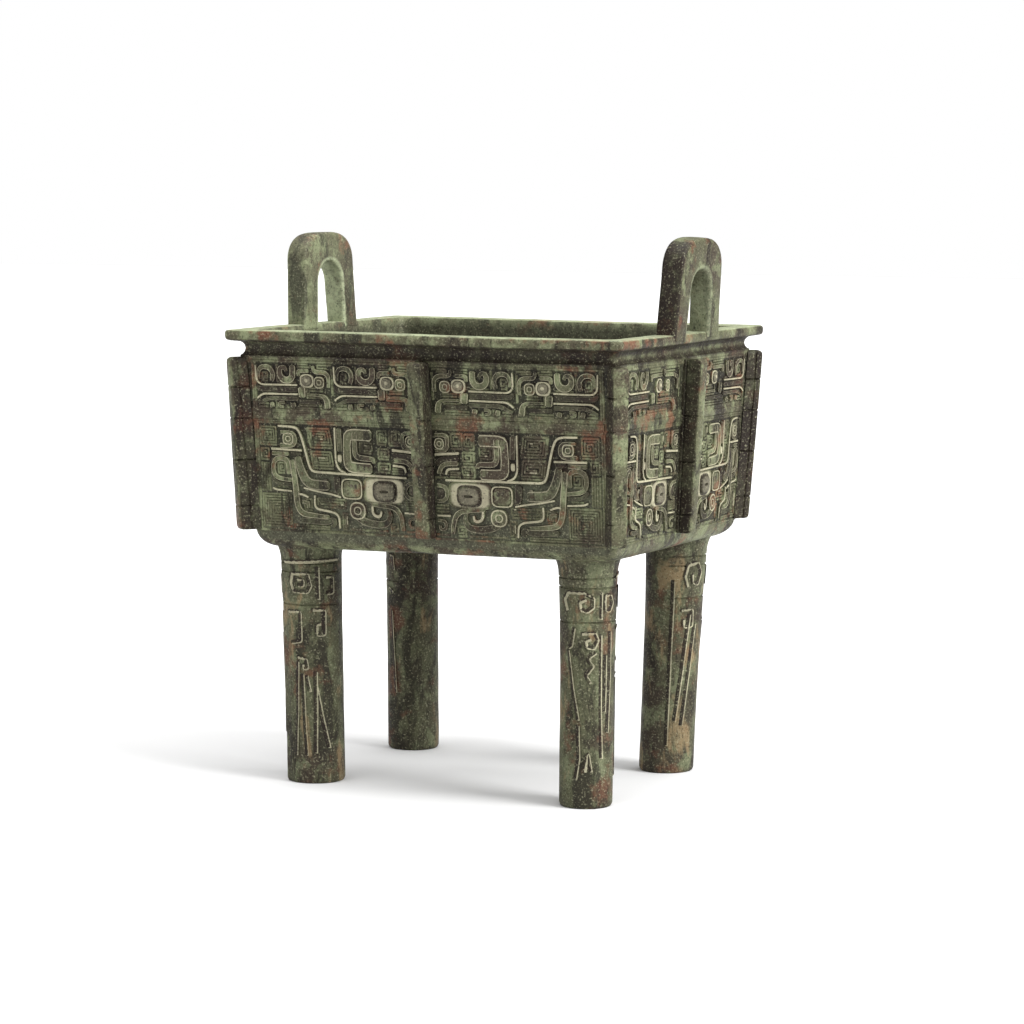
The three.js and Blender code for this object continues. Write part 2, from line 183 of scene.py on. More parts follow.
def vessel_stations():
    """Half sizes, height and corner radius of each ring: under the floor, up the outside, down the inside."""
    stations = []
    low_x, low_y = (half - FLOOR["inset"] for half in WALL["low"])
    for share in (0.03, 0.2, 0.4, 0.6, 0.8, 0.93):
        stations.append((low_x * share, low_y * share, FLOOR["underside"], 6 * share))
    for i in range(8):
        angle = math.radians(90 * i / 7)
        out = FLOOR["inset"] * math.sin(angle)
        rise = (WALL["bottom"] - FLOOR["underside"]) * (1 - math.cos(angle))
        stations.append((low_x + out, low_y + out, FLOOR["underside"] + rise, 6 - 3.5 * i / 7))
    for i in range(1, 35):
        z = lerp(WALL["bottom"], WALL["top"], i / 34)
        stations.append((wall_half(0, z), wall_half(1, z), z, 2.5))
    for angle in (-62, -45, -25, 0, 25, 45, 62):
        swell = NECK["radius"] * (1 - math.cos(math.radians(angle)))
        z = NECK["z"] + NECK["radius"] * math.sin(math.radians(angle))
        stations.append((NECK["half"][0] + swell, NECK["half"][1] + swell, z, 3))
    rim_x, rim_y = RIM["half"]
    under = RIM["top"] - RIM["edge"]
    for inset, z in ((1.6, under - 0.1), (0.7, under + 0.15), (0.15, under + 0.7), (0, under + 1.6)):
        stations.append((rim_x - inset, rim_y - inset, z, RIM["corner"]))
    for inset, drop in ((0, 1.2), (0.2, 0.5), (0.7, 0.1), (1.5, 0), (3.5, 0), (6, 0.05)):
        stations.append((rim_x - inset, rim_y - inset, RIM["top"] - drop, RIM["corner"]))
    mouth_x, mouth_y = MOUTH
    for inset, drop in ((-1, 0.05), (-0.3, 0.4), (0, 1.2), (0.1, 4), (0.1, 8), (0, 12), (0, 15.5)):
        stations.append((mouth_x - inset, mouth_y - inset, RIM["top"] - drop, 5))
    inner_top = RIM["top"] - 15.5
    inner_low = [half - WALL["thick"] for half in WALL["low"]]
    for i in range(1, 18):
        share = i / 17
        z = lerp(inner_top, FLOOR["top"] + 6, share)
        stations.append((lerp(mouth_x, inner_low[0], share), lerp(mouth_y, inner_low[1], share), z, 5))
    for i in range(1, 7):
        angle = math.radians(90 * i / 6)
        inset = 6 * (1 - math.cos(angle))
        z = FLOOR["top"] + 6 * (1 - math.sin(angle))
        stations.append((inner_low[0] - inset, inner_low[1] - inset, z, 5))
    for share in (0.9, 0.7, 0.5, 0.3, 0.15, 0.03):
        stations.append(((inner_low[0] - 6) * share, (inner_low[1] - 6) * share, FLOOR["top"], 5 * share))
    return stations


def add_vessel(skin):
    rings = [rounded_rectangle(x, y, r, z) for x, y, z, r in vessel_stations()]
    points, faces = loft(rings)
    ground, pale, dark = [], [], []
    for p in points:
        # ground marks the recessed ground of the relief rows, which the patina paints near black as painted
        # shade in the recesses
        outside = abs(p.x) > wall_half(0, p.z) - 1.5 or abs(p.y) > wall_half(1, p.z) - 1.5
        in_rows = any(low < p.z < high for low, high in ROWS.values())
        ground.append(1.0 if outside and in_rows else 0.0)
        inside = abs(p.x) < MOUTH[0] + 0.5 and abs(p.y) < MOUTH[1] + 0.5 and p.z > 99
        # the rim's flat top is painted pale as a painted highlight; the inside gets a slight pale tint
        pale.append(0.75 if p.z > RIM["top"] - 0.3 else 0.15 if inside else 0.0)
        # the outer neck under the rim is painted dark, partly as dark patina and partly as painted shade
        # under the rim; the inside below the lip is painted dark as painted shade
        neck = outside and WALL["top"] + 0.5 < p.z < RIM["top"] - RIM["edge"] + 0.5
        dark.append(0.9 if neck or (inside and p.z < RIM["top"] - 3) else 0.0)
    skin.add(points, faces, ground=ground, pale=pale, dark=dark)


# ---- The flanges ----
def add_flange(skin, base, direction, proud_top, proud_bottom, levels):
    """One flange. base gives the wall's point at a height, direction points out of the wall."""
    out = Vector((math.cos(direction), math.sin(direction), 0))
    side = Vector((-out.y, out.x, 0))
    half = FLANGE["thick"] / 2
    bottom, top = FLANGE["bottom"], FLANGE["top"]
    stations = [(bottom + 0.05, 1.3, 0.8), (bottom + 0.3, 0.5, 0.25), (bottom + 1.1, 0.1, 0),
                (bottom + 2, 0, 0)]
    count = 40
    stations += [(lerp(bottom + 2, top - 2.2, i / count), 0, 0) for i in range(1, count)]
    for level in levels:
        for rise, cut in ((-0.42, 0), (-0.16, 0.5), (0.16, 0.5), (0.42, 0)):
            stations.append((level + rise, 0.25 * cut, cut))
    stations += [(top - 2.2, 0, 0), (top - 1.2, 0.15, 0.05), (top - 0.5, 0.7, 0.3), (top - 0.1, 1.6, 0.9)]
    stations.sort()
    rings, dark = [], []
    for z, back, cut in stations:
        proud = lerp(proud_bottom, proud_top, (z - bottom) / (top - bottom)) - back
        flat = half - cut
        profile = [(-2.5, flat), (0.9, flat), (1.35, flat - 0.4), (1.8, flat), (proud - 1.1, flat - 0.05)]
        profile += [(proud - 0.35, flat - 0.3), (proud - 0.05, flat - 0.95), (proud + 0.02, flat * 0.35)]
        section = [(reach, -aside) for reach, aside in profile]
        section += [(reach, aside) for reach, aside in reversed(profile)]
        at = base(z)
        rings.append([at + out * reach + side * aside for reach, aside in section])
        # the flanges' sides are made darker than their outer edges
        dark += [0.9 if reach < proud - 0.9 else 0.1 for reach, _ in section]
    points, faces = loft(rings)
    skin.add(points, faces, relief=0.35, dark=dark + [0.0, 0.0])


def wall_point(axis, sign):
    def point(z):
        place = Vector((0, 0, z))
        place[axis] = sign * wall_half(axis, z)
        return place

    return point


def corner_point(sx, sy):
    return lambda z: Vector((sx * wall_half(0, z), sy * wall_half(1, z), z))


def add_flanges(skin):
    proud = (FLANGE["proud_top"], FLANGE["proud_bottom"])
    for sign in (-1, 1):
        add_flange(skin, wall_point(0, sign), math.atan2(0, sign), *proud, NOTCHES["middle"])
        add_flange(skin, wall_point(1, sign), math.atan2(sign, 0), *proud, NOTCHES["middle"])
    for sx, sy, proud_top, proud_bottom, *_ in CORNERS:
        outward = math.atan2(sy, sx)
        add_flange(skin, corner_point(sx, sy), outward, proud_top, proud_bottom, NOTCHES["corner"])


# ---- The handles ----
def handle_outline():
    """Pairs of inner and outer points (y, z) along the loop, from one foot over the top to the other."""
    height = HANDLE_TOP - RIM["top"] - 0.3
    shoulder = height - HANDLE["shoulder"]
    half_in, half_out = HANDLE["hole"] / 2 - 0.4, HANDLE["top_width"] / 2
    spring = HANDLE["hole_height"] - HANDLE["hole"] / 2
    pairs = []
    for i in range(9):
        share = i / 9
        inner = (lerp(half_in + 0.8, half_in, share), lerp(-2, spring, share))
        outer = (lerp(HANDLE["width"] / 2, half_out, share), lerp(-2, shoulder, share))
        pairs.append((inner, outer))
    for i in range(15):
        angle = math.radians(90 * i / 14)
        cos, sin = math.cos(angle), math.sin(angle)
        inner = (half_in * cos, spring + (HANDLE["hole_height"] - spring) * sin)
        outer = (half_out * cos**0.72, shoulder + HANDLE["shoulder"] * sin**0.86)
        pairs.append((inner, outer))
    mirrored = [((-a, b), (-c, d)) for (a, b), (c, d) in reversed(pairs[:-1])]
    return pairs + mirrored


def add_handle(skin, side):
    lean = math.radians(side * HANDLE_LEANS[side])
    middle = side * (RIM["half"][0] - HANDLE["thick"] / 2) + HANDLE_SHIFTS[side]
    rings, pale, dark = [], [], []
    outline = handle_outline()
    for inner, outer in outline:
        inner, outer = Vector(inner), Vector(outer)
        length = (outer - inner).length
        along = (outer - inner) / length
        centre = (inner + outer) / 2
        thick = lerp(8.8, 9.8, max(0, centre.y) / 37)
        ring = []
        for i in range(28):
            angle = 2 * math.pi * i / 28
            cos, sin = math.cos(angle), math.sin(angle)
            a = math.copysign(abs(cos) ** 0.3, cos) * length / 2
            b = math.copysign(abs(sin) ** 0.3, sin) * thick / 2
            flat = centre + along * a
            x = b * math.cos(lean) + flat.y * math.sin(lean)
            z = flat.y * math.cos(lean) - b * math.sin(lean)
            ring.append(Vector((middle + x, flat.x, RIM["top"] + z)))
            # The left handle is painted pale green on its +X face and inside its hole; the right handle is
            # pale only inside its hole and made darker elsewhere, most on its front edges.
            facing_front = flat.x < -HANDLE["hole"] / 2 - 1 and cos > 0.25
            if side > 0:
                pale.append(0.35 if cos < -0.6 else 0.0)
                dark.append(1.0 if facing_front else 0.45 if sin > 0.3 else 0.2)
            else:
                pale.append(0.95 if sin > 0.3 or cos < -0.6 else 0.1)
                dark.append(0.0)
        rings.append(ring)
    points, faces = loft([ring[::-1] for ring in rings])
    skin.add(points, faces, relief=0.3, pale=pale + [0.0, 0.0], dark=dark + [0.0, 0.0])


# ---- The legs ----
def leg_radius(foot, top, z):
    radius = lerp(foot, top, max(0.0, min(1.0, z / LEG["top"])) ** 3)
    swell = max(0.0, (z - 90.5) / 7.5)
    return radius + 3.4 * (1 - math.sqrt(max(0.0, 1 - min(1.0, swell) ** 2)))


def leg_centre(corner, z):
    sx, sy, _, _, _, _, shift_foot, shift_top = corner
    return Vector((sx * LEG["x"] + lerp(shift_foot, shift_top, z / LEG["top"]), sy * LEG["y"], z))


def add_leg(skin, corner):
    sx, sy, _, _, foot, top, _, _ = corner
    outward = math.atan2(sy, sx)
    heights = [0.0, 0.25, 0.7, 1.4, 3.0] + [3.0 + 2.2 * i for i in range(1, 40)]
    for ring in LEG["rings"]:
        heights = [z for z in heights if abs(z - ring) > 0.9]
        heights += [ring - 0.42, ring - 0.15, ring + 0.15, ring + 0.42]
    heights += [91.5, 93, 94.5, 95.6, 96.5, 97.2, 97.8, 99.5]
    rings = []
    for z in sorted(heights):
        ring = []
        for i in range(72):
            angle = 2 * math.pi * i / 72
            away = abs((angle - outward + math.pi) % (2 * math.pi) - math.pi)
            radius = leg_radius(foot, top, z)
            radius -= 0.85 * (1 - min(1.0, z / 1.4) ** 0.5)
            shown = min(1.0, max(0.0, (2.35 - away) / 0.25))
            for level in LEG["rings"]:
                radius -= 0.5 * shown * (abs(z - level) < 0.2)
            radius += 0.4 * math.exp(-((away / 0.09) ** 2))
            place = leg_centre(corner, z)
            ring.append(place + Vector((radius * math.cos(angle), radius * math.sin(angle), 0)))
        rings.append(ring)
    points, faces = loft(rings)
    skin.add(points, faces, leg=1.0, relief=0.2)


# ---- The relief on the walls ----
# A band's cross-section: pairs of (share of its half width, share of its height).
PLAIN = ((-1, 0.35), (-0.93, 0.75), (-0.74, 0.97), (-0.3, 1), (0.3, 1), (0.74, 0.97), (0.93, 0.75),
         (1, 0.35))
HALF_RIMMED = ((-1, 0.35), (-0.97, 0.85), (-0.88, 1), (-0.78, 0.95), (-0.68, 0.74), (-0.3, 0.78))
RIMMED = HALF_RIMMED + tuple((-across, rise) for across, rise in reversed(HALF_RIMMED))


class Wall:
    """One wall's ground: u runs to the right as one faces it, z up, and h out of it."""

    def __init__(self, axis, turn, inward):
        self.axis = axis
        self.turn = math.radians(turn)
        self.inward = inward
        slope = (WALL["high"][axis] - WALL["low"][axis]) / (WALL["top"] - WALL["bottom"])
        self.out = Vector((0, -1, -slope)).normalized()
        self.points = []
        self.faces = []
        self.rubbed_and_lit = []
        self.dark = []
        self.lines = []
        self.side = 1

    def place(self, u, z):
        """A point of the half's drawing, moved to where this wall has it."""
        knots = self.inward
        for (a, b), (c, d) in zip(knots, knots[1:]):
            if u <= c or (c, d) == knots[-1]:
                u = b + (d - b) * (u - a) / (c - a)
                break
        wobble = noise.noise_vector(Vector((u * self.side * 0.1, z * 0.1, self.turn + 5)))
        return Vector((self.side * u + 0.3 * wobble.x, z + 0.25 * wobble.y))

    def add(self, rings, rubbed_and_lit, dark=0.0):
        """A closed form over rings of (u, z, h) points; the rings run so that their faces look outwards.
        worn says for each point how far it is made bright, partly as rubbed wear and partly as a painted
        highlight; dark says how dark its brown is, and on pits and round the eye it is painted shade."""
        start = len(self.points)
        points, faces = loft(rings)
        self.points.extend(points)
        self.rubbed_and_lit.extend(rubbed_and_lit + [rubbed_and_lit[0], rubbed_and_lit[-1]])
        self.dark.extend([dark] * len(points))
        self.faces.extend(tuple(start + i for i in face) for face in faces)

    def on_wall(self, p):
        base = Vector((p.x, -wall_half(self.axis, p.y), p.y)) + self.out * p.z
        cos, sin = math.cos(self.turn), math.sin(self.turn)
        return Vector((base.x * cos - base.y * sin, base.x * sin + base.y * cos, base.z))


def eased(route, reach=2.0, steps=3):
    """The route with its corners rounded; a route's points are (u, z, width)."""
    route = [Vector(p) for p in route]
    path = [route[0]]
    for before, at, after in zip(route, route[1:], route[2:]):
        back = min(reach, (before - at).length * 0.48) / (before - at).length
        on = min(reach, (after - at).length * 0.48) / (after - at).length
        first, last = at.lerp(before, back), at.lerp(after, on)
        for i in range(steps + 1):
            t = i / steps
            path.append(first.lerp(at, t).lerp(at.lerp(last, t), t))
    path.append(route[-1])
    return path


def band(wall, route, height, section=PLAIN, reach=2.0, dark=0.0):
    """A raised band that follows a route."""
    placed = []
    for u, z, width in route:
        at = wall.place(u, z)
        placed.append((at.x, at.y, width))
    path = eased(placed, reach)
    first = (path[1].xy - path[0].xy).normalized() * path[0].z * 0.16
    last = (path[-1].xy - path[-2].xy).normalized() * path[-1].z * 0.16
    ends = [path[0].copy(), Vector((path[0].x + first.x, path[0].y + first.y, path[0].z))]
    ends += [Vector((path[-1].x - last.x, path[-1].y - last.y, path[-1].z)), path[-1].copy()]
    ends[0].z *= 0.5
    ends[3].z *= 0.5
    path = ends[:2] + path[1:-1] + ends[2:]
    rings = []
    for i, at in enumerate(path):
        before = path[max(0, i - 1)].xy
        after = path[min(len(path) - 1, i + 1)].xy
        inward = (at.xy - before).normalized() if i else (after - at.xy).normalized()
        outward = (after - at.xy).normalized() if i < len(path) - 1 else inward
        along = (inward + outward).normalized()
        mitre = 1 / max(0.75, along.dot(outward))
        across = Vector((along.y, -along.x)) * (at.z / 2 * mitre)
        full = 0.7 if i in (0, len(path) - 1) else 1.0
        ring = [(at.xy - across).to_3d() + Vector((0, 0, -RELIEF["root"]))]
        for share, rise in section:
            spot = at.xy + across * share
            ring.append(Vector((spot.x, spot.y, height * rise * full)))
        ring.append((at.xy + across).to_3d() + Vector((0, 0, -RELIEF["root"])))
        rings.append(ring)
    across_section = [0.0] + [rise for _, rise in section] + [0.0]
    wall.add([ring[::-1] for ring in rings], across_section[::-1] * len(rings), dark)


def boss(wall, u, z, half_u, half_z, rings, squareness=3.0, count=24, dark=0.0):
    """A raised block with a rounded outline; rings are (share of half_u, share of half_z, height)."""
    centre = wall.place(u, z)
    skin = []
    for share_u, share_z, height in ((1, 1, -RELIEF["root"]), *rings):
        ring = []
        for i in range(count):
            angle = 2 * math.pi * i / count
            cos, sin = math.cos(angle), math.sin(angle)
            x = math.copysign(abs(cos) ** (2 / squareness), cos) * half_u * share_u
            y = math.copysign(abs(sin) ** (2 / squareness), sin) * half_z * share_z
            ring.append(Vector((centre.x + x, centre.y + y, height)))
        skin.append(ring)
    crest = max(height for _, _, height in rings)
    rubbed_and_lit = [0.0] * count
    for _, _, height in rings:
        rubbed_and_lit += [height / crest] * count
    wall.add(skin, rubbed_and_lit, dark)


def dome(height):
    return ((1, 1, 0.35 * height), (0.94, 0.94, 0.75 * height), (0.8, 0.8, 0.96 * height),
            (0.4, 0.4, height))


def thread(wall, route):
    """A thin line of the ground's pattern, through (u, z) points that are already on the wall."""
    wall.lines.append([(wall.side * u, z) for u, z in route])


def panel_corner(wall, u, z):
    at = wall.place(u, z)
    return at.x * wall.side, at.y


def squared_spiral(wall, u0, z0, u1, z1, lean=0.0):
    """Fills a panel with a line that winds squarely in to its middle."""
    pitch = THREAD["pitch"]
    left, low = panel_corner(wall, u0, z0)
    right, high = panel_corner(wall, u1, z1)
    cols = max(1, round((right - left) / pitch))
    rows = max(1, round((high - low) / pitch))
    step_u, step_z = (right - left) / cols, (high - low) / rows
    west, south, east, north = 0.5, 0.5, cols - 0.5, rows - 0.5
    corners = [(west, south)]
    while east - west > -0.01 and north - south > -0.01:
        corners += [(east, south), (east, north), (west, north)]
        south += 1
        if north - south < -0.01:
            break
        corners.append((west, south))
        west, east, north = west + 1, east - 1, north - 1
        if east - west < -0.01:
            break
        corners.append((west, south))
    clean = [corners[0]]
    for corner in corners[1:]:
        if corner != clean[-1]:
            clean.append(corner)
    route = []
    for x, y in clean:
        z = low + y * step_z
        route.append((left + x * step_u + lean * (z - low) / (high - low), z))
    thread(wall, route)


def combed(wall, u0, z0, u1, z1, upright=False):
    """Fills a panel with straight threads."""
    left, low = panel_corner(wall, u0, z0)
    right, high = panel_corner(wall, u1, z1)
    span, start = ((right - left), left) if upright else ((high - low), low)
    count = max(1, round(span / THREAD["pitch"]))
    for i in range(count):
        at = start + span * (i + 0.5) / count
        thread(wall, [(at, low), (at, high)] if upright else [(left, at), (right, at)])


def volute(wall, u, z, half_u, half_z, height, squareness=2.4):
    """A round end of a figure: a raised rim, a hollow, an inner ring and a pit."""
    rings = ((1, 0.5), (0.96, 0.9), (0.9, 1), (0.82, 0.95), (0.74, 0.6), (0.52, 0.62), (0.44, 0.95),
             (0.34, 0.95))
    shape = [(share, share, rise * height) for share, rise in rings + ((0.24, 0.45), (0.1, 0.4))]
    boss(wall, u, z, half_u, half_z, shape, squareness, 22)


def pit(wall, u, z, half_u, half_z, height):
    """A small flat patch on top of a figure, painted dark as the shade of a pit; no hollow is cut."""
    boss(wall, u, z, half_u, half_z, ((1, 1, height), (0.6, 0.6, height * 1.01)), 2.6, 12, dark=1.0)


def mask_half(wall, thin):
    """Half of the great mask: horn, brow, eye, ear, nose, jaw, and the body, leg and plume behind it."""
    figure, ridge = RELIEF["figure"], RELIEF["ridge"]

    def form(route, height=figure, section=RIMMED, reach=2.0, dark=0.0):
        band(wall, [(u, z, width * thin) for u, z, width in route], height, section, reach, dark)

    def line(route, reach=1.6):
        form(route, ridge, PLAIN, reach)

    # horn: its broad open loop, the strip inside it, and the strips beside it
    form([(23.4, 142.4, 4.9), (33.8, 142.6, 4.8), (34.7, 140.6, 3.5), (34.8, 131.6, 3.7),
          (33.4, 129.4, 4.7), (23.8, 129.3, 4.4)], figure, reach=3.2)
    form([(31.2, 143.4, 2.3), (31.2, 134.8, 2.4), (29.6, 133.3, 2.4), (23, 133.1, 2), (22.8, 131.4, 1.2)],
         figure * 1.05)
    pit(wall, 27.1, 129.7, 0.35, 0.9, figure)
    form([(38.5, 144.6, 2.4), (38, 135.6, 2.3)], figure * 0.9, dark=0.3)
    line([(40.2, 145, 0.9), (40.1, 131, 0.9), (38.6, 128.2, 1), (35.6, 127.2, 0.9)])
    boss(wall, 38.2, 132.8, 1.1 * thin, 1.7, dome(figure * 0.9), 3.4, 14)
    # long ridge over the face and body, up behind the panel to the plume
    line([(8.4, 126.3, 1), (51.2, 127, 1.1), (52.6, 129.6, 1.1), (54.7, 139, 1.1), (56.3, 143.4, 1.1),
          (58.4, 144.8, 1.1), (66, 145, 0.9)], 2.4)
    # brow and forehead
    line([(4.2, 136.3, 1.1), (14.8, 137.1, 1.3)])
    form([(4.6, 132.2, 2), (6.8, 134.6, 2.1), (14.6, 135, 2)], figure * 0.85, dark=0.9)
    form([(5.6, 128.6, 1.8), (6.8, 131.6, 1.9), (9, 132.8, 1.9), (14.2, 133, 1.9)])
    line([(8.8, 128.4, 1), (9.4, 130.6, 1.1), (14.6, 131, 1)])
    form([(4.2, 144, 1.4), (9.8, 144, 1.6), (9.6, 137.9, 1.6), (4.4, 137.9, 1.2)])
    volute(wall, 6.3, 140.7, 2.2 * thin, 2.3, figure)
    # face plate with the eye on it
    boss(wall, 18.9, 120.8, 9.6 * thin, 5.5, dome(RELIEF["plate"]), 4.5)
    eye = RELIEF["eye"]
    # the plate under the eye, seen as a thin ring round the lids, is painted dark as the shade of a groove
    # round the eye
    boss(wall, 18.6, 120.6, 5.5 * thin, 4.3, ((1, 1, 0.66), (0.97, 0.97, 0.67), (0.8, 0.8, 0.67)), 3.4,
         dark=1.0)
    lids = ((1, 1, 0.4 * eye), (0.97, 0.97, 0.7 * eye), (0.85, 0.85, 0.93 * eye), (0.6, 0.6, eye))
    slit = ((0.42, 0.17, eye), (0.36, 0.08, eye * 0.72))
    boss(wall, 18.6, 120.6, 4.9 * thin, 3.7, lids + slit, 3.4, dark=0.75)
    # ear, cheek and body
    rim = figure * 1.1
    fold = ((1, 0.5), (0.97, 0.95), (0.92, 1), (0.87, 0.95), (0.83, 0.4), (0.79, 0.4), (0.74, 0.78),
            (0.3, 0.8))
    boss(wall, 33.1, 121, 4.8 * thin, 4.2, [(share, share, rise * rim) for share, rise in fold], 4)
    pit(wall, 31.3, 121.9, 0.55, 1, rim * 0.82)
    pit(wall, 33.3, 122.2, 0.7, 0.7, rim * 0.82)
    form([(40.2, 125.6, 3), (40, 119.8, 3), (37.6, 117.4, 1.8)], figure * 0.8, dark=0.9)
    # fore leg, with a hooked end under the body
    form([(57.5, 133, 3), (57, 129, 3.6), (54.6, 123.6, 4.2), (52, 121.9, 4.2), (46, 121.6, 4.4),
          (43.4, 121.7, 3.6)],
         figure, reach=2.6, dark=0.5)
    pit(wall, 45.3, 123.4, 0.9, 0.9, figure * 0.85)
    line([(38.4, 117.4, 0.8), (43, 118.4, 0.9), (49, 119.2, 0.9), (55.4, 120.4, 0.8)])
    form([(60.2, 131.6, 2.4), (59.5, 125.6, 2.5), (58.8, 119, 2.6), (58.4, 113, 2.5), (56.4, 110.2, 2.5),
          (52, 109.6, 2.1), (44, 109.2, 1.6)], figure * 1.05, reach=2.8)
    form([(57, 107.6, 2), (45, 107.2, 2.4), (42, 108.6, 2), (41, 106.8, 1.6), (42.8, 105.6, 1.4)],
         figure * 0.9, dark=0.7)
    line([(39.2, 105, 0.9), (39.4, 109.6, 1), (41.4, 111.2, 1), (49.6, 112.2, 1.1), (50.6, 113.6, 1),
          (50.4, 117.6, 0.9)])
    line([(53.4, 116.6, 0.9), (56.2, 117.8, 1), (58, 117.6, 0.9)])
    form([(53.4, 112.4, 1.3), (53.6, 114.8, 1.4), (56.4, 114.6, 1.3)])
    # volute and plume at the outer end
    line([(55.4, 135.4, 1), (69.6, 135.6, 1.1)])
    form([(55.8, 133.9, 1.4), (60.8, 134, 1.5)], figure * 0.8, dark=0.9)
    form([(61.6, 133.9, 1.6), (69.4, 133.9, 1.6)])
    form([(65, 142.6, 1.2), (58.6, 142.3, 2), (58.4, 137.4, 2.2), (65.6, 137, 2.1)], figure, reach=2.6)
    volute(wall, 61.6, 139.9, 2.6 * thin, 2.5, figure * 1.05, 3)
    form([(61.9, 125.6, 1.8), (62, 131.9, 2), (67, 132.3, 2), (69, 130.2, 1.9), (69, 126, 1.8),
          (67, 124, 1.8), (60.6, 123.2, 1.5)],
         figure, reach=2.4)
    form([(69.8, 124.4, 1.3), (67.4, 121.8, 1.5), (60.8, 121.4, 1.4)], figure * 0.8, dark=0.7)
    line([(69.6, 120, 0.9), (67.8, 119.3, 0.9), (60.6, 118.8, 0.8)])
    # nose and muzzle
    form([(4.4, 124.3, 1.5), (8.2, 124, 1.6), (9.6, 121.2, 1.6), (8.3, 118.3, 1.6), (4.6, 118, 1.4)],
         figure, reach=2.4)
    pit(wall, 6, 121, 1.5, 1.8, 0.35)
    line([(4.4, 112.2, 0.8), (10.2, 112.4, 0.9)])
    form([(4.4, 110.4, 1.1), (8.2, 110.2, 1.2), (8.3, 107, 1.2), (5.6, 106.6, 1.1), (5.5, 108.4, 0.9)],
         figure * 0.9)
    # jaw
    form([(25.2, 115.3, 1.3), (14.4, 114.6, 2.2), (11.8, 111.6, 2.2), (11, 105.2, 1.7)], figure * 0.95,
         reach=3)
    form([(17.4, 114, 1.4), (16.2, 111.2, 2), (17.6, 108.2, 2.8), (21, 107.3, 3), (28, 108, 3.2),
          (31.5, 110.4, 3.2)],
         figure, reach=3, dark=0.6)
    volute(wall, 31.2, 112.5, 3.7 * thin, 3.6, figure * 1.08)
    line([(24.4, 114.6, 1.1), (24.3, 111.8, 1.3), (22.6, 110.5, 1.4), (20.6, 110.7, 1.3), (20.2, 112.8, 1)])


def mask_ground(wall):
    """The squared spirals and combed lines between the mask's forms."""
    for panel in (
        (10.8, 138.2, 16.4, 145), (16.8, 138.3, 21.6, 145), (15.8, 132.6, 21.6, 137.8),
        (15.6, 127.3, 21.6, 132.2),
        (23.2, 134.8, 29.8, 140), (66.8, 136.6, 75, 145), (70.4, 130.6, 75, 136.2),
        (63.2, 125.4, 67.6, 130.8),
        (61, 104, 75, 118), (36, 112.4, 49.8, 117), (35.4, 104, 38.6, 111.6), (12.8, 104, 17, 108.6),
        (51.4, 110.9, 56, 116.4),
    ):
        squared_spiral(wall, *panel)
    squared_spiral(wall, 41, 136.2, 52, 145, lean=1.6)
    squared_spiral(wall, 40.8, 127.8, 51.2, 135.8, lean=1.2)
    combed(wall, 70.6, 118.6, 75, 130, upright=True)
    combed(wall, 3.6, 104, 9.6, 105.6)
    combed(wall, 3.6, 113.2, 9.6, 117)
    combed(wall, 3.6, 126.8, 8.4, 127.8)
    combed(wall, 44, 104, 61, 105.8)
    combed(wall, 18, 104, 34.6, 105.4)
    combed(wall, 10.4, 127.2, 15, 130)
    combed(wall, 62.2, 119.9, 67.6, 120.8)
    combed(wall, 51.8, 138.4, 53.2, 145, upright=True)


